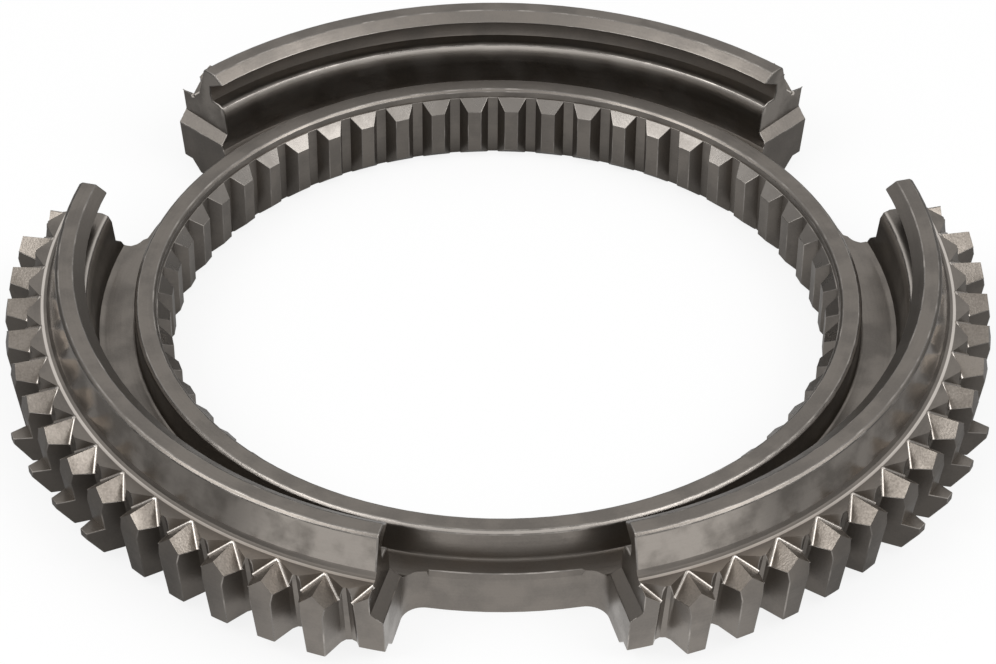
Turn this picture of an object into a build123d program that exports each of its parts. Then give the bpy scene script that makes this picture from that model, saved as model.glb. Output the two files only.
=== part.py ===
from build123d import *
import os
from math import cos, degrees, radians, sin, tan

# Synchronizer ring of a heavy gearbox, one steel piece, in millimetres.
# The axis is Z and the flat underside lies on Z = 0, centred on the origin.
# Three windows break the toothed rim, and the first is centred on the -Y side.

# Internal splines of the hub, with 30 degree flanks
SPLINE_COUNT = 52
SPLINE_ROOT_RADIUS = 67.5
SPLINE_DEPTH = 2.5
SPLINE_FLOOR_WIDTH = 2.07
SPLINE_FLANK_ANGLE = 30.0
LEAD_IN = 2.1
BOTTOM_LAND = 0.2

# Hub wall, with a shallow recess above the splines
HUB_WALL = 4.5
HUB_HEIGHT = 16.0
HUB_EDGE = 0.6
RECESS_DEPTH = 1.8
RECESS_STEP = 0.2
RECESS_EDGE = 0.5

# Web between hub and rim
WEB_THICKNESS = 9.2
CHANNEL_WIDTH = 7.6
HUB_FOOT_ROUND = 0.8
WALL_FOOT_ROUND = 1.8

# Inner side of the rim: leaning wall, ledge, undercut groove and lip
WALL_LEAN = 6.5
WALL_HEIGHT = 9.7
SHOULDER_ROUND = 2.0
LEDGE_WIDTH = 3.6
GROOVE_BEVEL_WIDTH = 0.5
GROOVE_BEVEL_HEIGHT = 1.4
GROOVE_WIDTH = 1.9
GROOVE_ROOF_RISE = 2.1
LIP_REACH = 3.8
LIP_BEVEL = 2.3
LIP_HEIGHT = 1.7

# Ground cone of the flange that stands over the teeth
FLANGE_WALL = 2.0
FLANGE_STAND = 8.2
FLANGE_CHAMFER_WIDTH = 0.6
FLANGE_CHAMFER_DEPTH = 0.5
CONE_ANGLE = 14.0
CONE_FOOT_ROUND = 1.5

# Dog teeth: spaces with a round floor that lean outwards and close upwards
TEETH_PER_THIRD = 20
TOOTH_START = 1.4
TOOTH_DEPTH = 5.7
TOOTH_LEAN = 8.0
SPACE_ROUND = 1.75
FLOOR_FLATS = 4
FLANK_ANGLE = 16.5
BACK_TAPER = 1.5
SPACE_MARGIN = 0.25
UNDERSIDE_BEVEL = 2.5
UNDERSIDE_STEP = 0.8
CROWN_HEIGHT = 4.4
CROWN_DEPTH = 1.5

# Pointed roof of each tooth, and the angle at which its cut runs out
ROOF_SLOPE = 40.0
RIDGE_DROP = 0.2
RUN_OUT_START = 1.4
RUN_OUT_ANGLE = 59.0
RUN_OUT_LEAN = 10.0

# Stop feet on the middle teeth of each third, and lower end teeth
FOOT_TEETH = 4
FOOT_REACH = 4.3
FOOT_TOE = 1.1
FOOT_HEIGHT = 6.2
FOOT_RIM = 1.4
END_TOOTH_DEPTH = 1.5

# Windows
WINDOW_COUNT = 3
WINDOW_FLOOR = 4.3
WINDOW_BEVEL = 0.6
WINDOW_BEVEL_DEPTH = 1.1
WINDOW_LOW_ANGLE = 27.5
WINDOW_HIGH_ANGLE = 30.4
WINDOW_STEP_HEIGHT = 10.6
WINDOW_STEP_SLOPE = 40.0
WINDOW_CORNER = 4.2
WINDOW_PHASE = -90.0

# How far a cutting shape reaches past the surface that it cuts
OVERCUT = 2.0

# Radii, from the bore outwards
bore_radius = SPLINE_ROOT_RADIUS - SPLINE_DEPTH
recess_radius = SPLINE_ROOT_RADIUS + RECESS_STEP
hub_radius = SPLINE_ROOT_RADIUS + HUB_WALL
window_radius = hub_radius + WINDOW_FLOOR
wall_foot_radius = hub_radius + CHANNEL_WIDTH
wall_top_radius = wall_foot_radius + WALL_HEIGHT * tan(radians(WALL_LEAN))
ledge_radius = wall_top_radius + LEDGE_WIDTH
groove_radius = ledge_radius + GROOVE_BEVEL_WIDTH
flange_radius = groove_radius + FLANGE_WALL

# Heights, from the underside upwards
spline_top = HUB_HEIGHT - RECESS_DEPTH
ledge_height = WEB_THICKNESS + WALL_HEIGHT
groove_roof = ledge_height + GROOVE_BEVEL_HEIGHT + GROOVE_WIDTH
lip_edge = groove_roof + GROOVE_ROOF_RISE
rim_height = lip_edge + LIP_HEIGHT
tooth_top = rim_height - FLANGE_STAND
tooth_bottom = UNDERSIDE_BEVEL
crown_start = tooth_top - CROWN_HEIGHT
ridge_height = tooth_top - RIDGE_DROP

# Teeth
cone_height = FLANGE_STAND - FLANGE_CHAMFER_DEPTH
cone_foot_radius = flange_radius + cone_height * tan(radians(CONE_ANGLE))
root_radius = cone_foot_radius + TOOTH_START
land_radius = root_radius + TOOTH_DEPTH
foot_radius = land_radius + FOOT_REACH
skirt_radius = root_radius - UNDERSIDE_STEP
tooth_height = tooth_top - tooth_bottom
tooth_pitch = 360 / WINDOW_COUNT / TEETH_PER_THIRD
outside = foot_radius + OVERCUT


def leaning(radius, height):
    """Radius at a height of a line that starts at the teeth's lower ends and leans out with them."""
    return radius + (height - tooth_bottom) * tan(radians(TOOTH_LEAN))


def polar(radius, angle, height=0.0):
    """Point at a radius and an angle in degrees."""
    return (radius * cos(radians(angle)), radius * sin(radians(angle)), height)


def eased(before, corner, after, size):
    """Three points that round a corner off with two flats."""
    inbound = (corner - before).normalized()
    onward = (after - corner).normalized()
    turn = radians(inbound.get_angle(onward)) / 2
    inward = (onward - inbound).normalized()
    middle = corner + inward * size * (1 / cos(turn) - 1)
    reach = size * tan(turn)
    return [corner - inbound * reach, middle, corner + onward * reach]


def turned(corners, arc=360.0, centre=0.0):
    """Solid turned from corners given as radius, height and corner round."""
    points = [Vector(radius, height) for radius, height, _ in corners]
    outline = []
    for index, (_, _, size) in enumerate(corners):
        near = points[index]
        if size:
            outline += eased(points[index - 1], near, points[index + 1], size)
        else:
            outline.append(near)
    section = Plane.XZ * make_face(Polyline(*outline, close=True))
    solid = revolve(section, Axis.Z, arc)
    return Rot(0, 0, centre - arc / 2) * solid


def blank():
    """Turned ring before any tooth, spline or window is cut."""
    hub = [
        (SPLINE_ROOT_RADIUS - BOTTOM_LAND, 0, 0),
        (bore_radius, LEAD_IN, 0),
        (bore_radius, spline_top - LEAD_IN, 0),
        (SPLINE_ROOT_RADIUS, spline_top, 0),
        (recess_radius, spline_top, 0),
        (recess_radius, HUB_HEIGHT - RECESS_EDGE, 0),
        (recess_radius + RECESS_EDGE, HUB_HEIGHT, 0),
        (hub_radius - HUB_EDGE, HUB_HEIGHT, 0),
        (hub_radius, HUB_HEIGHT - HUB_EDGE, 0),
    ]
    web = [
        (hub_radius, WEB_THICKNESS, HUB_FOOT_ROUND),
        (wall_foot_radius, WEB_THICKNESS, WALL_FOOT_ROUND),
    ]
    rim = [
        (wall_top_radius, ledge_height, SHOULDER_ROUND),
        (ledge_radius, ledge_height, 0),
        (groove_radius, ledge_height + GROOVE_BEVEL_HEIGHT, 0),
        (groove_radius, groove_roof, 0),
        (groove_radius - LIP_REACH, lip_edge, 0),
        (groove_radius - LIP_REACH + LIP_BEVEL, rim_height, 0),
        (flange_radius - FLANGE_CHAMFER_WIDTH, rim_height, 0),
        (flange_radius, rim_height - FLANGE_CHAMFER_DEPTH, 0),
        (cone_foot_radius, tooth_top, CONE_FOOT_ROUND),
    ]
    teeth = [
        (leaning(land_radius, tooth_top) - CROWN_DEPTH, tooth_top, 0),
        (leaning(land_radius, crown_start), crown_start, 0),
        (land_radius, tooth_bottom, 0),
        (skirt_radius, tooth_bottom, 0),
        (skirt_radius - UNDERSIDE_BEVEL, 0, 0),
    ]
    return turned(hub + web + rim + teeth)


def foot_blank(centre):
    """Band from which the stop feet of one third are cut."""
    low = tooth_bottom
    corners = [
        (root_radius, low, 0),
        (land_radius + FOOT_TOE, low, 0),
        (foot_radius, low + FOOT_HEIGHT - FOOT_RIM, 0),
        (foot_radius, low + FOOT_HEIGHT, 0),
        (root_radius, low + FOOT_HEIGHT, 0),
    ]
    return turned(corners, FOOT_TEETH * tooth_pitch, centre)


def end_tooth_cut(centre, half_angle):
    """Turned-down band that leaves the teeth beside a window low."""
    low = tooth_bottom - OVERCUT
    high = tooth_top + OVERCUT
    floor = root_radius + END_TOOTH_DEPTH
    corners = [
        (leaning(floor, low), low, 0),
        (outside + OVERCUT, low, 0),
        (outside + OVERCUT, high, 0),
        (leaning(floor, high), high, 0),
    ]
    return turned(corners, 2 * half_angle, centre)


def spline_space():
    """Straight space between two internal splines."""
    reach = SPLINE_DEPTH + OVERCUT
    floor = SPLINE_FLOOR_WIDTH / 2
    mouth = floor + reach * tan(radians(SPLINE_FLANK_ANGLE))
    near = SPLINE_ROOT_RADIUS - reach
    outline = Polyline(
        (SPLINE_ROOT_RADIUS, floor),
        (SPLINE_ROOT_RADIUS, -floor),
        (near, -mouth),
        (near, mouth),
        close=True,
    )
    height = spline_top + OVERCUT + RECESS_DEPTH
    return Pos(0, 0, -OVERCUT) * extrude(make_face(outline), height)


def tooth_space():
    """Space between two dog teeth: round floor and flat flanks, leaning out and closing upwards."""
    lean = radians(TOOTH_LEAN)
    flank = radians(FLANK_ANGLE + tooth_pitch / 2)
    low = -OVERCUT * tan(radians(BACK_TAPER))
    floor_round = SPACE_ROUND - low
    centre = low + floor_round
    reach = (outside + OVERCUT - root_radius) / cos(lean)
    half_arc = radians(90) - flank
    floor = []
    for step in range(FLOOR_FLATS + 1):
        turn = half_arc * (1 - 2 * step / FLOOR_FLATS)
        floor.append((centre - floor_round * cos(turn), floor_round * sin(turn)))
    mouth = floor[0][1] + (reach - floor[0][0]) * tan(flank)
    outline = Polyline(*floor, (reach, -mouth), (reach, mouth), close=True)
    along = Vector(sin(lean), 0, cos(lean))
    start = Vector(root_radius, 0, tooth_bottom) - along * OVERCUT
    plane = Plane(origin=start, x_dir=(cos(lean), 0, -sin(lean)), z_dir=along)
    length = (tooth_height + 2 * OVERCUT) / cos(lean)
    return extrude(plane * make_face(outline), length, taper=BACK_TAPER)


def roof_cut():
    """Everything above the pointed roof of the tooth on the +X axis."""
    half = leaning(land_radius, tooth_top) * tan(radians(tooth_pitch / 2))
    drop = half * tan(radians(ROOF_SLOPE))
    top = tooth_top + OVERCUT
    start = cone_foot_radius + RUN_OUT_START
    outline = Polyline(
        (0, ridge_height),
        (half, ridge_height - drop),
        (half, top),
        (-half, top),
        (-half, ridge_height - drop),
        close=True,
    )
    section = Plane.YZ.offset(flange_radius) * make_face(outline)
    cutter = extrude(section, outside - flange_radius)
    for side in (1, -1):
        turn = radians(RUN_OUT_ANGLE)
        lean = radians(RUN_OUT_LEAN)
        outward = Vector(
            sin(turn) * cos(lean),
            -side * cos(turn) * cos(lean),
            sin(lean),
        )
        run_out = Plane(origin=(start, 0, tooth_top), z_dir=outward)
        cutter = split(cutter, bisect_by=run_out, keep=Keep.TOP)
    return cutter


def sector_face(inner_radius, half_angle, corner=0.0):
    """Flat face between two radial lines, outside a radius, about the +X axis."""
    far = (outside + OVERCUT) / cos(radians(half_angle))
    inner = [polar(inner_radius, angle) for angle in (-half_angle, 0, half_angle)]
    outer = [polar(far, angle) for angle in (-half_angle, half_angle)]
    face = make_face([
        ThreePointArc(*inner),
        Line(inner[2], outer[1]),
        Line(outer[1], outer[0]),
        Line(outer[0], inner[0]),
    ])
    if corner:
        face = fillet(face.vertices().sort_by(Axis.X)[:2], corner)
    return face


def prism(face, low, high):
    """Straight block from one height to another over a flat face."""
    return Pos(0, 0, low) * extrude(face, high - low)


def window_cut():
    """Window through the rim: narrow below, wider above a sloping step."""
    low = WINDOW_LOW_ANGLE / 2
    high = WINDOW_HIGH_ANGLE / 2
    top = rim_height + OVERCUT
    cut = prism(sector_face(window_radius, low, WINDOW_CORNER), -OVERCUT, top)
    wide = prism(sector_face(window_radius, high), WINDOW_STEP_HEIGHT - OVERCUT, top)
    slope = radians(WINDOW_STEP_SLOPE)
    for side in (1, -1):
        edge = polar(window_radius, side * low, WINDOW_STEP_HEIGHT)
        sideways = polar(1, side * (low + 90))
        uphill = Vector(-sideways[0] * sin(slope), -sideways[1] * sin(slope), cos(slope))
        wide = split(wide, bisect_by=Plane(origin=edge, z_dir=uphill), keep=Keep.TOP)
    return cut + wide


def web_edge_bevel(centre):
    """Bevel along the web's top edge in one window, between the window's corners."""
    corner_angle = degrees(WINDOW_CORNER / window_radius)
    start = WEB_THICKNESS - WINDOW_BEVEL_DEPTH
    corners = [
        (window_radius - WINDOW_BEVEL, WEB_THICKNESS, 0),
        (window_radius, start, 0),
        (window_radius + OVERCUT, start, 0),
        (window_radius + OVERCUT, WEB_THICKNESS + OVERCUT, 0),
        (window_radius - WINDOW_BEVEL, WEB_THICKNESS + OVERCUT, 0),
    ]
    return turned(corners, WINDOW_LOW_ANGLE - 2 * corner_angle, centre)


def turned_copies(shape, angles):
    """Copies of a shape turned about the axis."""
    return [Rot(0, 0, angle) * shape for angle in angles]


def synchronizer_ring():
    """The finished ring."""
    third = 360 / WINDOW_COUNT
    windows = [WINDOW_PHASE + third * index for index in range(WINDOW_COUNT)]
    clear = WINDOW_HIGH_ANGLE / 2 + SPACE_MARGIN * tooth_pitch
    steps = [step for step in range(TEETH_PER_THIRD) if clear < step * tooth_pitch < third - clear]
    spaces = [window + step * tooth_pitch for window in windows for step in steps]
    teeth = sorted({angle + side * tooth_pitch / 2 for angle in spaces for side in (1, -1)})
    splines = [WINDOW_PHASE + 360 / SPLINE_COUNT * index for index in range(SPLINE_COUNT)]

    ring = blank()
    for window in windows:
        ring += foot_blank(window + third / 2)
    for window in windows:
        ring -= end_tooth_cut(window, steps[0] * tooth_pitch)
        ring -= web_edge_bevel(window)
    ring -= turned_copies(window_cut(), windows)
    ring -= turned_copies(spline_space(), splines)
    ring -= turned_copies(tooth_space(), spaces)
    ring -= turned_copies(roof_cut(), teeth)
    return ring


os.makedirs("parts", exist_ok=True)
export_step(synchronizer_ring(), "parts/synchronizer_ring.step")
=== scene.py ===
# %% [markdown]
# The object is the synchronizer ring of a heavy gearbox: one turned and milled piece of
# steel. Its solid comes ready from the CAD side as a fixed frame, in metres, lying on
# Z = 0 with its axis on Z. Everything made here is fitted round that frame and never
# moves it, so the first step only loads it.

# %% Load the frame
import math

import bmesh
import bpy
from mathutils import Matrix, Vector


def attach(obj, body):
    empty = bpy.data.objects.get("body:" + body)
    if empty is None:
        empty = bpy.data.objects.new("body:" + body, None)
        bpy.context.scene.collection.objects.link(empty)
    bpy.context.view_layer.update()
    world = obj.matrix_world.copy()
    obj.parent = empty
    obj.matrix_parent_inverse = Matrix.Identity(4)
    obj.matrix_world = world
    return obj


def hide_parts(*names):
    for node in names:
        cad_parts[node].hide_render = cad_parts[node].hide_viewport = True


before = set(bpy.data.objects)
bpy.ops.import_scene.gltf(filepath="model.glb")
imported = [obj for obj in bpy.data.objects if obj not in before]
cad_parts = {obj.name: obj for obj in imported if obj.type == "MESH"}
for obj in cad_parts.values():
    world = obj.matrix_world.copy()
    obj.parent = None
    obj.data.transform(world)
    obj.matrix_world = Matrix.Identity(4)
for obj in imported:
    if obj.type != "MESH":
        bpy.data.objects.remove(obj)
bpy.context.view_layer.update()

MM = 0.001
RING_NODE = "synchronizer_ring"
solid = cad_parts[RING_NODE]

# %% [markdown]
# The camera stands where the photographer stood: a long lens, some 680 mm away, looking
# down at 39 degrees on the window in front. Its direction is written as azimuth,
# elevation and roll, because those three say more to a reader than a matrix does.

# %% Camera
AIM = Vector((0.05, 2.32, 2.5)) * MM
CAMERA_DISTANCE = 683.3 * MM
CAMERA_AZIMUTH = -1.294
CAMERA_ELEVATION = 39.182
CAMERA_ROLL = 0.518
FOCAL_LENGTH = 122.66
SENSOR_WIDTH = 36
NEAREST_SEEN = 10 * MM


def added(name, data):
    """A new object in the scene, at the origin."""
    thing = bpy.data.objects.new(name, data)
    bpy.context.scene.collection.objects.link(thing)
    return thing


def placed(name, data, location, rotation):
    """A new object in the scene, at a place and turned by a 3 x 3 matrix."""
    thing = added(name, data)
    thing.location = location
    thing.rotation_euler = rotation.to_euler()
    return thing


def direction(azimuth, elevation):
    """Unit vector from the ring towards an azimuth and an elevation, in degrees."""
    a, e = math.radians(azimuth), math.radians(elevation)
    return Vector((math.sin(a) * math.cos(e), -math.cos(a) * math.cos(e), math.sin(e)))


def facing(back, roll=0.0):
    """Rotation whose -Z looks against a direction, with +Y up, rolled by some degrees."""
    right = Vector((0, 0, 1)).cross(back).normalized()
    level = Matrix((right, back.cross(right), back)).transposed()
    return level @ Matrix.Rotation(math.radians(roll), 3, "Z")


lens = bpy.data.cameras.new("camera")
lens.lens = FOCAL_LENGTH
lens.sensor_width = SENSOR_WIDTH
lens.clip_start = NEAREST_SEEN
to_lens = direction(CAMERA_AZIMUTH, CAMERA_ELEVATION)
camera = placed("camera", lens, AIM + to_lens * CAMERA_DISTANCE, facing(to_lens, CAMERA_ROLL))
bpy.context.scene.camera = camera
print("camera at, mm:", [round(v / MM) for v in camera.location])

# %% [markdown]
# Materials and Geometry Nodes are both trees of nodes, and written out link by link
# they are hard to read. One small class holds a socket and overloads the operators, so
# that a formula in Python becomes Math nodes, and its method `node` adds any other kind.

# %% Sockets as values
class Wire:
    """An output socket in a node tree that can stand in a formula."""

    def __init__(self, tree, socket=None):
        self.tree = tree
        self.socket = socket

    def node(self, kind, settings=None, inputs=None, output=0):
        """Adds a node, sets it up, fills its inputs and returns one of its outputs."""
        made = self.tree.nodes.new(kind)
        for name, value in (settings or {}).items():
            setattr(made, name, value)
        for key, value in (inputs or {}).items():
            if isinstance(value, Wire):
                self.tree.links.new(value.socket, made.inputs[key])
            else:
                made.inputs[key].default_value = value
        return Wire(self.tree, made.outputs[output]) if made.outputs else None

    def maths(self, operation, *values):
        """A Math node that works on some values."""
        return self.node("ShaderNodeMath", {"operation": operation}, dict(enumerate(values)))

    def split(self):
        """The X, Y and Z of a vector."""
        first = self.node("ShaderNodeSeparateXYZ", None, {"Vector": self})
        return [Wire(self.tree, socket) for socket in first.socket.node.outputs]

    def __add__(self, other):
        return self.maths("ADD", self, other)

    def __radd__(self, other):
        return self.maths("ADD", other, self)

    def __sub__(self, other):
        return self.maths("SUBTRACT", self, other)

    def __rsub__(self, other):
        return self.maths("SUBTRACT", other, self)

    def __mul__(self, other):
        return self.maths("MULTIPLY", self, other)

    def __rmul__(self, other):
        return self.maths("MULTIPLY", other, self)

    def __truediv__(self, other):
        return self.maths("DIVIDE", self, other)

    def __pow__(self, other):
        return self.maths("POWER", self, other)


print("operators that add Math nodes: + - * / **")

# %% [markdown]
# Some short helpers save the same words in every material: a soft border between two
# values, the larger of two values, a mix of two colours, a warm grey, noise, and an
# emptied tree to start from. A Mix node has its colours at inputs 6 and 7 and its colour
# result at output 2.

# %% Helpers for materials
def between(value, low, high):
    """0 at low, 1 at high, and a smooth change from one to the other."""
    inputs = {"Value": value, "From Min": low, "From Max": high}
    return value.node("ShaderNodeMapRange", {"interpolation_type": "SMOOTHSTEP"}, inputs)


def larger(first, second):
    """The larger of two values at each place."""
    return first.maths("MAXIMUM", first, second)


def blend(factor, first, second):
    """A colour between two others."""
    inputs = {0: factor, 6: first, 7: second}
    return factor.node("ShaderNodeMix", {"data_type": "RGBA"}, inputs, output=2)


def grey(level, warmth=0.0):
    """A grey of some brightness, browner where warmth is above 0."""
    return (level * (1 + warmth), level, level * (1 - warmth), 1.0)


def noise(place, scale, detail):
    """Noise that swings round 0.5."""
    inputs = {"Vector": place, "Scale": scale, "Detail": detail}
    return place.node("ShaderNodeTexNoise", None, inputs)


def emptied(owner):
    """The start of an empty node tree in a material or a world."""
    owner.use_nodes = True
    owner.node_tree.nodes.clear()
    return Wire(owner.node_tree)


print("a warm grey:", [round(part, 3) for part in grey(0.2, 0.1)])

# %% [markdown]
# Three bright bands are painted highlights, standing in for the light that rounded edges
# catch: a line at the cone's foot, a streak over the rim's shoulder and the outer edge of
# the hub. A mask drawn on the surface would need an image. On a turned piece the distance
# from the axis and the height say where a place is, so each zone is a product of soft
# borders in those two. A border is a pair in mm: where the steel keeps its tone, and
# where the painted highlight is full.

# %% Painted highlights on the cone's foot, the shoulder and the hub
HIGHLIGHT_TONE = grey(0.65, 0.08)
FOOT_RADII = ((89.5, 89.6), (90.17, 90.05))
FOOT_HEIGHTS = ((17.6, 17.7),)
SHOULDER_RADII = ((79.0, 79.6), (82.0, 81.4))
SHOULDER_HEIGHTS = ((15.8, 18.4), (19.3, 19.1))
SHOULDER_SHARE = 0.7
HUB_RADII = ((71.1, 71.4), (72.3, 72.1))
HUB_HEIGHTS = ((15.1, 15.5),)
HUB_SHARE = 0.45


def zone(radius, height, radii, heights, share=1.0):
    """Share of painted highlight inside some borders of radius and of height."""
    inside = share
    for border in radii:
        inside = between(radius, *border) * inside
    for border in heights:
        inside = between(height, *border) * inside
    return inside


def painted_highlights(radius, height):
    """Share of painted highlight over the whole ring."""
    foot = zone(radius, height, FOOT_RADII, FOOT_HEIGHTS)
    shoulder = zone(radius, height, SHOULDER_RADII, SHOULDER_HEIGHTS, SHOULDER_SHARE)
    hub_edge = zone(radius, height, HUB_RADII, HUB_HEIGHTS, HUB_SHARE)
    return larger(foot, larger(shoulder, hub_edge))


print("painted highlight: the cone's foot, the shoulder", SHOULDER_SHARE, "and the hub's edge", HUB_SHARE)

# %% [markdown]
# The steel is dark from its phosphate bath, brown-grey and satin. Three things break it
# up on the real ring: blotches some millimetres wide, a fine grain, and the rings that
# the turning tool left, which follow the radius and the height and hardly the angle. All
# three come from noise on Object coordinates, so they lie still on the metal, and each
# of them moves the colour, the roughness and the relief a little. Noise swings round
# 0.5, so 0.5 is taken off where it should leave the mean alone. Each noise is a pair,
# its scale and its detail, where the scale is per mm for the rings and per metre for
# the others.

# %% Steel
TURNING_NOISE = (2.2, 3.0)
TURNING_ROUND = 1.5
TURNING_TONE = 0.6
TURNING_SHINE = 0.2
BLOTCH_NOISE = (130.0, 4.0)
BLOTCH_BORDER = (0.38, 0.64)
BLOTCH_RELIEF = 0.6
BLOTCH_SHINE = 0.09
GRAIN_NOISE = (2400.0, 2.0)
GRAIN_SHINE = 0.1
WEAR_NOISE = (260.0, 3.0)
WEAR_BORDER = (0.4, 0.8)
BUMP = {"Strength": 0.4, "Distance": 0.07 * MM}


def finish(name, pale, dark, roughness, turning=0.0, grain=0.3, blotch=0.5, worn=None):
    """Steel between a pale and a dark tone. Worn is a brighter tone that shows in patches; without
    it, painted highlight bands go on.
    """
    material = bpy.data.materials.new(name)
    start = emptied(material)
    place = start.node("ShaderNodeTexCoord", output="Object")
    x, y, z = place.split()
    radius = (x * x + y * y) ** 0.5 / MM
    height = z / MM
    angle = y.maths("ARCTAN2", y, x)
    turned = {"X": radius, "Y": height, "Z": angle * TURNING_ROUND}
    rings = noise(start.node("ShaderNodeCombineXYZ", None, turned), *TURNING_NOISE)
    patches = noise(place, *BLOTCH_NOISE)
    patch = between(patches, *BLOTCH_BORDER)
    specks = noise(place, *GRAIN_NOISE)
    darker = patch * blotch + (specks - 0.5) * grain + (rings - 0.5) * (turning * TURNING_TONE)
    tone = blend(darker, pale, dark)
    if worn:
        tone = blend(between(noise(place, *WEAR_NOISE), *WEAR_BORDER), tone, worn)
    else:
        # painted highlight: pale bands at the cone's foot, the shoulder and the hub's edge
        tone = blend(painted_highlights(radius, height), tone, HIGHLIGHT_TONE)
    relief = rings * turning + specks * grain + patches * BLOTCH_RELIEF
    bump = start.node("ShaderNodeBump", None, {**BUMP, "Height": relief})
    shine = roughness + (patch - 0.5) * BLOTCH_SHINE + (specks - 0.5) * GRAIN_SHINE
    shine = shine + (rings - 0.5) * (turning * TURNING_SHINE)
    inputs = {"Base Color": tone, "Roughness": shine, "Metallic": 1.0, "Normal": bump}
    surface = start.node("ShaderNodeBsdfPrincipled", None, inputs)
    start.node("ShaderNodeOutputMaterial", None, {"Surface": surface})
    print("finish", name, "with", len(material.node_tree.nodes), "nodes")
    return material


widths = [round(1 / scale / MM, 1) for scale, detail in (BLOTCH_NOISE, GRAIN_NOISE)]
print("blotches and grain, mm wide:", widths)

# %% [markdown]
# The same steel looks different where it was worked in another way. The turned body is
# satin, the ground cone is smoother and more blotched, the milled roofs are coarse, and
# the lead-ins of the splines are smooth and plain. Broken edges are the brightest where
# worn, and the rounds that a cutter left get a pale tone that is a painted highlight.
# One function with other numbers is enough for all six.

# %% The six finishes
dark_steel = finish("phosphated_steel", pale=grey(0.205, 0.11), dark=grey(0.145, 0.09),
                    roughness=0.36, turning=0.5, grain=0.45)
worn_edge = finish("worn_edge", pale=grey(0.21, 0.08), dark=grey(0.15, 0.10),
                   roughness=0.33, grain=0.5, worn=grey(0.42, 0.08))
ground_cone = finish("ground_cone", pale=grey(0.32, 0.10), dark=grey(0.16, 0.11),
                     roughness=0.20, turning=0.3, grain=0.15, blotch=0.8)
milled_roof = finish("milled_roof", pale=grey(0.23, 0.12), dark=grey(0.13, 0.14),
                     roughness=0.38, grain=1.3)
lead_in = finish("lead_in", pale=grey(0.22, 0.08), dark=grey(0.16, 0.10),
                 roughness=0.30, grain=0.4)
# pale tone of the cutter rounds: a painted highlight for the light band they catch
painted_highlight_round = finish("painted_highlight_round", pale=grey(0.50, 0.08), dark=grey(0.30, 0.10),
                      roughness=0.32, grain=0.8)

# %% [markdown]
# A CAD mesh is loose triangles with knife edges, and real steel has no knife edges. The
# ring is therefore a welded copy of the CAD node. Triangles that lie in one plane are
# joined, but level ones only within one twelfth of the turn, because a flat ring joined
# all the way round would be a face with a hole, which a mesh can't hold.

# %% Welded copy of the solid
WELD = 0.002 * MM
SECTORS = 12
FLAT = math.radians(0.4)
LEVEL = 0.999


def radius_of(point):
    """Distance of a point from the axis."""
    return math.hypot(point.x, point.y)


def twelfth(face):
    """Which twelfth of the turn a face lies in."""
    centre = face.calc_center_median()
    return math.floor(math.atan2(centre.y, centre.x) / (2 * math.pi) * SECTORS)


def joinable(edge):
    """Whether the two faces at an edge lie in one plane and, if level, in one twelfth."""
    if not edge.is_manifold or edge.calc_face_angle() > FLAT:
        return False
    first, second = edge.link_faces
    return abs(first.normal.z) < LEVEL or twelfth(first) == twelfth(second)


welded = bmesh.new()
welded.from_mesh(solid.data)
bmesh.ops.remove_doubles(welded, verts=welded.verts, dist=WELD)
inner = [edge for edge in welded.edges if joinable(edge)]
bmesh.ops.dissolve_limit(welded, angle_limit=FLAT, verts=[], edges=inner)
print("welded copy:", len(welded.verts), "vertices,", len(welded.faces), "faces")

# %% [markdown]
# At each corner of a window the cutters leave a shelf no bigger than a crumb, just under
# the web. A fitter would blend it away by hand, so its few vertices are lifted to the
# web's top, brought onto the arc of the corner below them, and merged. The corner
# where the web's bevel ends is merged into the next vertex along the edge, so that the
# bevel runs out in a slope and not in a small wall. That holds for five of the six ends:
# the one on the left of the front window lies just too far out, and keeps a small step.
# Angles are in degrees off the middle of the nearest window.

# %% Corners of the windows
WINDOW_STEP = 120
WEB_TOP = 9.2 * MM
WEB_EDGE = 76.3 * MM
ARC_START = 10.76
ARC_CURVE = 0.23 * MM
SHELF_RADII = (76.2 * MM, 77.2 * MM)
SHELF_HEIGHTS = (8.55 * MM, WEB_TOP + 0.01 * MM)
SHELF_ANGLES = (10.5, 12.6)
BEVEL_END = 10.7
MERGED = 0.3 * MM


def off_window(point):
    """Angle in degrees between a point and the middle of the nearest window."""
    angle = math.degrees(math.atan2(point.y, point.x)) + 90
    return abs((angle + WINDOW_STEP / 2) % WINDOW_STEP - WINDOW_STEP / 2)


def lies(value, limits):
    """Whether a value lies between two limits."""
    return limits[0] < value < limits[1]


def on_shelf(vertex):
    """Whether a vertex belongs to the shelf at a window's corner."""
    beside = lies(radius_of(vertex.co), SHELF_RADII) and lies(off_window(vertex.co), SHELF_ANGLES)
    return beside and lies(vertex.co.z, SHELF_HEIGHTS)


shelf = [vertex for vertex in welded.verts if on_shelf(vertex)]
for vertex in shelf:
    reach = WEB_EDGE + ARC_CURVE * max(0, off_window(vertex.co) - ARC_START) ** 2
    vertex.co.xy *= reach / radius_of(vertex.co)
    vertex.co.z = WEB_TOP
print("shelf vertices lifted:", len(shelf))
bmesh.ops.remove_doubles(welded, verts=shelf, dist=MERGED)
shelf = [vertex for vertex in welded.verts if on_shelf(vertex)]
ends = [vertex for vertex in shelf if off_window(vertex.co) < BEVEL_END]
others = [vertex for vertex in shelf if vertex not in ends]
targets = {end: min(others, key=lambda other: (other.co - end.co).length) for end in ends}
bmesh.ops.weld_verts(welded, targetmap=targets)
bmesh.ops.dissolve_degenerate(welded, dist=WELD, edges=welded.edges)
welded.normal_update()
print("bevel ends blended:", len(ends))

# %% [markdown]
# Which finish a face has follows from where it lies and how it leans: the milled roofs
# are above the teeth, the lead-ins at the ends of the splines, and the ground cone is
# the flange's outside. Slot numbers in the mesh carry that choice. A lean is the upward
# part of a face's normal, 1 on a level face and 0 on an upright one.

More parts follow.
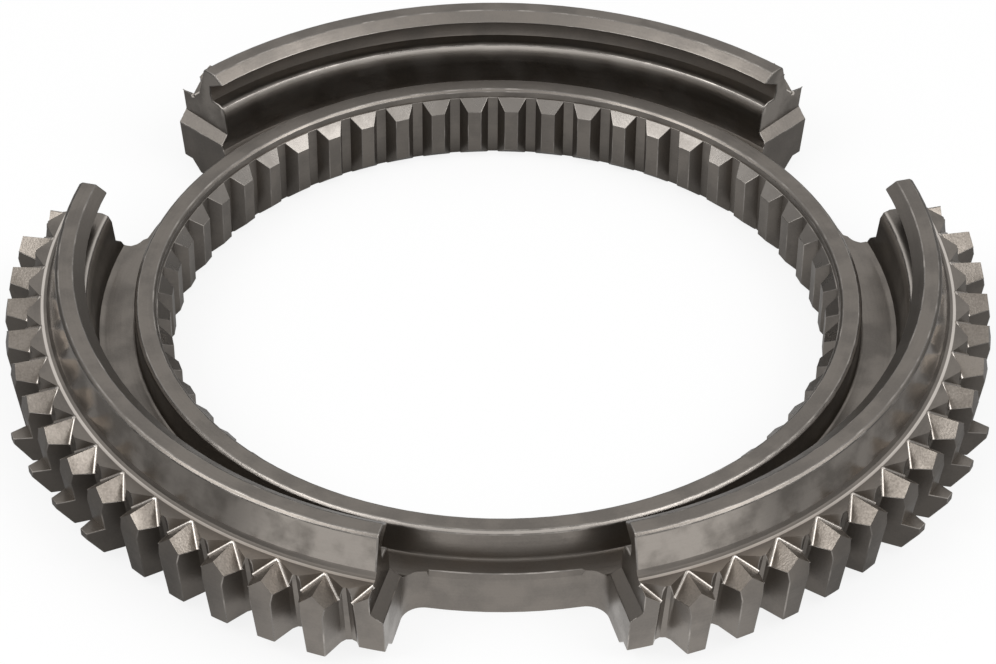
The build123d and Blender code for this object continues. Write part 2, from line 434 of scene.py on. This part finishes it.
# %% Finish of each face
SLOTS = [dark_steel, worn_edge, ground_cone, milled_roof, lead_in]
BODY, EDGE, CONE, ROOF, LEAD = range(len(SLOTS))
TEETH_FROM = 88.6 * MM
TOOTH_TOP = 17.8 * MM
ROOF_HEIGHTS = (12 * MM, TOOTH_TOP - 0.05 * MM)
ROOF_LEAN = 0.5
SPLINE_ROOT = 67.6 * MM
LEAD_LEANS = (0.3, 0.95)
CONE_RADII = (84 * MM, 89.5 * MM)


def finish_of(face):
    """Slot of the finish that a face has."""
    centre = face.calc_center_median()
    r, lean = radius_of(centre), face.normal.z
    outward = centre.x * face.normal.x + centre.y * face.normal.y > 0
    if r > TEETH_FROM and lies(centre.z, ROOF_HEIGHTS) and lean > ROOF_LEAN:
        return ROOF
    if r < SPLINE_ROOT and lies(lean, LEAD_LEANS):
        return LEAD
    if lies(r, CONE_RADII) and centre.z > TOOTH_TOP and lean < ROOF_LEAN and outward:
        return CONE
    return BODY


for face in welded.faces:
    face.material_index = finish_of(face)
    face.smooth = True
slots = [face.material_index for face in welded.faces]
print("faces per finish:", {SLOTS[slot].name: slots.count(slot) for slot in sorted(set(slots))})

# %% [markdown]
# Every outer edge is then broken by a small bevel, 0.12 mm at the splines and 0.35 mm
# round the windows. A Bevel modifier can take each edge's width from a weight, so this
# step writes weights. The roofs of the teeth get no bevel, because their edges carry
# burrs, made further down, and the blended corners of the windows get none either.

# %% Weights of the broken edges
SHARP = math.radians(30)
WIDEST_BREAK = 0.4 * MM
WINDOW_BREAK = 0.35 * MM
PLAIN_BREAK = 0.18 * MM
SPLINE_BREAK = 0.12 * MM
SPLINES_TO = 68 * MM
CORNER_RADII = (75.5 * MM, 79 * MM)
CORNER_ANGLES = (10.4, 13.6)
CORNER_FROM = 8 * MM
ROOFS_FROM = TOOTH_TOP - 6 * MM
RIM_RADII = (80 * MM, 88 * MM)
WINDOW_TO = 15.5
UPRIGHT = 0.1
ACROSS = 0.3


def middle_of(edge):
    """Point halfway along an edge."""
    return (edge.verts[0].co + edge.verts[1].co) / 2


def beside_window(face):
    """Whether a face is an upright end wall of the rim at a window."""
    centre, normal = face.calc_center_median(), face.normal
    outward = abs(centre.x * normal.x + centre.y * normal.y) / radius_of(centre)
    end_wall = abs(normal.z) < UPRIGHT and outward < ACROSS
    return end_wall and centre.z > WEB_TOP and off_window(centre) < WINDOW_TO


def edge_break(edge):
    """Width of the bevel on one edge."""
    middle = middle_of(edge)
    r, lean = radius_of(middle), max(face.normal.z for face in edge.link_faces)
    if r < SPLINES_TO:
        return SPLINE_BREAK
    if lies(r, CORNER_RADII) and middle.z > CORNER_FROM and lies(off_window(middle), CORNER_ANGLES):
        return 0
    if r > TEETH_FROM and middle.z > ROOFS_FROM and lean > ROOF_LEAN:
        return 0
    if lies(r, RIM_RADII) and any(beside_window(face) for face in edge.link_faces):
        return WINDOW_BREAK
    return PLAIN_BREAK


weights = welded.edges.layers.float.new("bevel_weight_edge")
outer = [e for e in welded.edges if e.is_manifold and e.calc_face_angle_signed() > SHARP]
for edge in outer:
    edge[weights] = edge_break(edge) / WIDEST_BREAK
print("edges broken:", len(outer))

# %% [markdown]
# The modifier puts its own faces in the slot of worn metal, so that the light edge lines
# of the photo are real faces and not paint. Its result is then made a plain mesh,
# because the next step writes normals, which a live modifier would throw away.

# %% Bevel
BREAK_STEPS = 2


def plain(thing, name):
    """The evaluated shape of an object as a new plain object, in its place."""
    graph = bpy.context.evaluated_depsgraph_get()
    shape = thing.evaluated_get(graph)
    mesh = bpy.data.meshes.new_from_object(shape, preserve_all_data_layers=True, depsgraph=graph)
    mesh.name = name
    bpy.data.objects.remove(thing)
    return added(name, mesh)


blank = bpy.data.meshes.new("ring_blank")
welded.to_mesh(blank)
for material in SLOTS:
    blank.materials.append(material)
rough = added("ring_rough", blank)
bevel = rough.modifiers.new("edges", "BEVEL")
bevel.limit_method = "WEIGHT"
bevel.width = WIDEST_BREAK
bevel.segments = BREAK_STEPS
bevel.use_clamp_overlap = False
bevel.material = EDGE
ring = plain(rough, "ring")
print("ring:", len(ring.data.polygons), "faces")

# %% [markdown]
# Almost every face of the ring was turned on a lathe, so its normals point straight away
# from the axis. The CAD triangles are uneven, and plain smooth shading would let them
# show as waves. So each corner gets its normal by rule: the faces that meet there within
# a small angle are averaged by area, and a turned face has its normal swung to the
# corner's own direction from the axis first. Slivers have no say in it.

# %% Normals of a turned part
SMOOTH = math.cos(math.radians(24))
SMOOTH_EDGE = math.cos(math.radians(50))
SIDEWAYS = 0.08
SLIVER = 0.01 * MM * MM


def swung(polygon, point):
    """Normal of a face, swung round the axis to a point if the face is a turned one."""
    normal, centre = polygon.normal, polygon.center
    outward = (normal.x * centre.x + normal.y * centre.y) / radius_of(centre)
    sideways = (normal.y * centre.x - normal.x * centre.y) / radius_of(centre)
    if abs(sideways) > SIDEWAYS:
        return normal
    pull = outward / radius_of(point)
    return Vector((point.x * pull, point.y * pull, normal.z)).normalized()


def normals_at_vertices(mesh):
    """What the faces round each vertex give it: a normal, an area and a slot each."""
    around = [[] for vertex in mesh.vertices]
    for polygon in mesh.polygons:
        if polygon.area > SLIVER:
            for number in polygon.vertices:
                normal = swung(polygon, mesh.vertices[number].co)
                around[number].append((normal, polygon.area, polygon.material_index))
    return around


def turned_normals(mesh):
    """Normal of each corner of a mesh, face by face."""
    around = normals_at_vertices(mesh)
    normals = []
    for polygon in mesh.polygons:
        for number in polygon.vertices:
            own = swung(polygon, mesh.vertices[number].co)
            total = Vector()
            for normal, area, slot in around[number]:
                limit = SMOOTH_EDGE if EDGE in (slot, polygon.material_index) else SMOOTH
                if own.dot(normal) > limit or polygon.area <= SLIVER:
                    total += normal * area
            normals.append(total.normalized() if total.length else own)
    return normals


ring.data.normals_split_custom_set(turned_normals(ring.data))
print("normals set:", len(ring.data.loops))

# %% [markdown]
# Two things repeat on the teeth. The cutter that milled a roof left a small round where
# it ran out, whose light band is a painted highlight in its pale finish, and it pushed a
# thin uneven burr over the roof's sides. Both follow edges of the ring, so those edges are
# picked out first, as two meshes of nothing but lines.

# %% Lines on the teeth
RUN_OUT_LENGTH = 1 * MM
FLANK_LEAN = 0.4
TOP_LEAN = 0.95
OUTWARDS = 0.6


def on_tooth(edge):
    """Whether an edge touches the roof of a tooth."""
    beside_roof = any(face.material_index == ROOF for face in edge.link_faces)
    return beside_roof and radius_of(middle_of(edge)) > TEETH_FROM


def at_run_out(edge):
    """Whether an edge is the inner corner where a roof meets the cutter's run-out."""
    hollow = edge.is_manifold and edge.calc_face_angle_signed() < -SHARP
    return on_tooth(edge) and hollow and edge.calc_length() > RUN_OUT_LENGTH


def at_side(edge):
    """Whether an edge is the side of a roof, above a flank."""
    if not on_tooth(edge) or not edge.is_manifold or edge.calc_face_angle_signed() <= SHARP:
        return False
    first, second = edge.link_faces
    leans = sorted((first.normal.z, second.normal.z))
    outwards = middle_of(edge).normalized().dot(first.normal + second.normal)
    return leans[0] < FLANK_LEAN and leans[1] < TOP_LEAN and outwards < OUTWARDS


def lines_from(name, edges):
    """A mesh of nothing but some of the ring's edges."""
    corners = sorted({v for edge in edges for v in edge.verts}, key=lambda v: v.index)
    number = {vertex: place for place, vertex in enumerate(corners)}
    pairs = [[number[v] for v in edge.verts] for edge in edges]
    mesh = bpy.data.meshes.new(name)
    mesh.from_pydata([v.co for v in corners], pairs, [])
    return mesh


welded.verts.index_update()
run_outs = lines_from("run_outs", [edge for edge in welded.edges if at_run_out(edge)])
sides = lines_from("sides", [edge for edge in welded.edges if at_side(edge)])
welded.free()
print("run-out lines:", len(run_outs.edges), " side lines:", len(sides.edges))

# %% [markdown]
# Burrs and rounds are both beads along lines, so one tree of Geometry Nodes makes both.
# It lays points along each line, lets the thickness wander from point to point with
# noise from a fixed seed, and sweeps a six-sided circle along them.

# %% Bead tree
BEAD_SIZES = {"Bead radius": 0.1 * MM, "Spacing": 0.4 * MM, "Unevenness": 0.8, "Seed": 7.0}
BEAD_CORNERS = 6
WANDER_SCALE = 900.0
WANDER_SWING = 3
bead_tree = bpy.data.node_groups.new("bead_along_lines", "GeometryNodeTree")
bead_tree.interface.new_socket("Lines", in_out="INPUT", socket_type="NodeSocketGeometry")
for title, value in BEAD_SIZES.items():
    socket = bead_tree.interface.new_socket(title, in_out="INPUT", socket_type="NodeSocketFloat")
    socket.default_value = value
bead_tree.interface.new_socket("Finish", in_out="INPUT", socket_type="NodeSocketMaterial")
bead_tree.interface.new_socket("Beads", in_out="OUTPUT", socket_type="NodeSocketGeometry")
start = Wire(bead_tree)
titles = ["Lines", *BEAD_SIZES, "Finish"]
given = {title: start.node("NodeGroupInput", output=title) for title in titles}
curves = start.node("GeometryNodeMeshToCurve", None, {"Mesh": given["Lines"]})
inputs = {"Curve": curves, "Length": given["Spacing"]}
curves = start.node("GeometryNodeResampleCurve", {"mode": "LENGTH"}, inputs)
inputs = {"W": given["Seed"], "Scale": WANDER_SCALE}
wander = start.node("ShaderNodeTexNoise", {"noise_dimensions": "4D"}, inputs)
thickness = 1 + (wander - 0.5) * WANDER_SWING * given["Unevenness"]
curves = start.node("GeometryNodeSetCurveRadius", None, {"Curve": curves, "Radius": thickness})
inputs = {"Resolution": BEAD_CORNERS, "Radius": given["Bead radius"]}
circle = start.node("GeometryNodeCurvePrimitiveCircle", None, inputs)
inputs = {"Curve": curves, "Profile Curve": circle, "Fill Caps": True}
beads = start.node("GeometryNodeCurveToMesh", None, inputs)
beads = start.node("GeometryNodeRealizeInstances", None, {"Geometry": beads})
inputs = {"Geometry": beads, "Material": given["Finish"]}
beads = start.node("GeometryNodeSetMaterial", None, inputs)
start.node("NodeGroupOutput", None, {"Beads": beads})
print("bead tree:", len(bead_tree.nodes), "nodes")

# %% [markdown]
# The burrs take the sizes that the tree has from the start. The rounds are five times as
# thick and more even. Each result becomes a plain mesh before it joins the object.

# %% Burrs and cutter rounds
ROUND_SIZES = {"Bead radius": 0.5 * MM, "Unevenness": 0.5}


def beaded(name, lines, bead_finish, sizes):
    """A plain mesh of beads along lines, with some of the tree's sizes set anew."""
    thing = added(name + "_lines", lines)
    modifier = thing.modifiers.new("beads", "NODES")
    modifier.node_group = bead_tree
    chosen = {**BEAD_SIZES, **sizes, "Finish": bead_finish}
    for item in bead_tree.interface.items_tree:
        if item.in_out == "INPUT" and item.name in chosen:
            modifier[item.identifier] = chosen[item.name]
    made = plain(thing, name)
    for polygon in made.data.polygons:
        polygon.use_smooth = True
    print(name, len(made.data.polygons), "faces")
    return made


burrs = beaded("burrs", sides, worn_edge, {})
rounds = beaded("cutter_rounds", run_outs, painted_highlight_round, ROUND_SIZES)

# %% [markdown]
# All pieces ride on the ring's only body. The welded copy stands for the CAD node, which
# stays behind it for the physics.

# %% Ride on the frame
for piece in (ring, burrs, rounds):
    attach(piece, "root")
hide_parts(RING_NODE)
print("pieces:", [piece.name for piece in (ring, burrs, rounds)])

# %% [markdown]
# The photo is a plain product shot on white. The paper under the ring keeps its shadow,
# because only a share of what it shows is plain white. Metal sees a part of that white
# too, most of it in front and inside the bore and a little more on the right, where the
# cone, the teeth and the splines shine in the photo. Borders are pairs in metres.

# %% Floor
FLOOR_HALF = 3.0
PAPER_TONE = 0.85
PAPER_IN_METAL = 0.25
WHITE_SHARE = 0.85
GLOSS_SHARE = 0.1
GLOSS_RIGHT = 0.1
GLOSS_FRONT = 0.8
GLOSS_INSIDE = 0.3
RIGHT_BORDER = (-0.06, 0.06)
FRONT_BORDER = (0.03, 0.075)
FRONT_SLOPE = 0.6
BORE_BORDER = (0.068, 0.055)
SQUARE = [(-1, -1), (1, -1), (1, 1), (-1, 1)]
paper = bpy.data.materials.new("paper")
start = emptied(paper)
to_camera = start.node("ShaderNodeLightPath", output="Is Camera Ray")
to_gloss = start.node("ShaderNodeLightPath", output="Is Glossy Ray")
across, along, up = start.node("ShaderNodeTexCoord", output="Object").split()
right = between(across, *RIGHT_BORDER)
ahead = 0 - along - across.maths("ABSOLUTE", across) * FRONT_SLOPE
front = between(ahead, *FRONT_BORDER)
inside = between((across * across + along * along) ** 0.5, *BORE_BORDER)
gloss = GLOSS_SHARE + GLOSS_RIGHT * right + GLOSS_FRONT * front + GLOSS_INSIDE * inside
tone = blend(to_gloss, grey(PAPER_TONE), grey(PAPER_IN_METAL))
lit = start.node("ShaderNodeBsdfDiffuse", None, {"Color": tone})
white = start.node("ShaderNodeEmission", None, {"Color": grey(1.0), "Strength": 1.0})
share = larger(to_camera * WHITE_SHARE, to_gloss * gloss)
shown = start.node("ShaderNodeMixShader", None, {0: share, 1: lit, 2: white})
start.node("ShaderNodeOutputMaterial", None, {"Surface": shown})
sheet = bpy.data.meshes.new("floor")
sheet.from_pydata([(x * FLOOR_HALF, y * FLOOR_HALF, 0) for x, y in SQUARE], [], [(0, 1, 2, 3)])
sheet.materials.append(paper)
floor = added("floor", sheet)
print("floor", FLOOR_HALF * 2, "m wide")

# %% [markdown]
# Around the ring hangs a light tent: pale overhead and in front, and dim near the horizon
# at the sides and the back, where the room shows. That dimness is what makes the flanks
# and the inner walls dark. The camera itself sees plain white, and so would glass. A
# border is a pair of values of one part of the direction, which runs from -1 to 1.

# %% World
HORIZON = 0.06
OVERHEAD = 0.84
RIGHT_SIDE = 0.12
WHITE_IN_METAL = 0.06
RISE = (0.28, 0.54)
FRONT = (0.55, 0.95)
RIGHT = (-0.2, 0.8)
world = bpy.data.worlds.new("tent")
bpy.context.scene.world = world
start = emptied(world)
x, y, z = start.node("ShaderNodeTexCoord", output="Generated").split()
glow = larger(between(z, *RISE), between(0 - y, *FRONT))
dim = HORIZON + RIGHT_SIDE * between(x, *RIGHT)
tent = dim + (OVERHEAD - dim) * glow
to_camera = start.node("ShaderNodeLightPath", output="Is Camera Ray")
to_gloss = start.node("ShaderNodeLightPath", output="Is Glossy Ray")
through = start.node("ShaderNodeLightPath", output="Is Transmission Ray")
plain_white = larger(larger(to_camera, to_gloss * WHITE_IN_METAL), through)
strength = tent + (1 - tent) * plain_white
sky = start.node("ShaderNodeBackground", None, {"Color": grey(1.0), "Strength": strength})
start.node("ShaderNodeOutputWorld", None, {"Surface": sky})
bpy.context.scene.view_settings.view_transform = "Standard"
print("tent from", HORIZON, "to", OVERHEAD)

# %% [markdown]
# Two wide soft boxes stand left and right of the ring. The photo shows them as the
# bright streaks on the shoulders and the spline ends at both sides, with a dimmer middle.

# %% Lamps
BOX_AZIMUTH = 68
BOX_ELEVATION = 46
BOX_DISTANCE = 1.2
BOX_SIDE = 0.7
BOX_WATTS = 5.0
for name, side in (("left_box", -1), ("right_box", 1)):
    light = bpy.data.lights.new(name, "AREA")
    light.size = BOX_SIDE
    light.energy = BOX_WATTS
    to_box = direction(side * BOX_AZIMUTH, BOX_ELEVATION)
    lamp = placed(name, light, to_box * BOX_DISTANCE, facing(to_box))
    print(name, "at, mm:", [round(v / MM) for v in lamp.location])
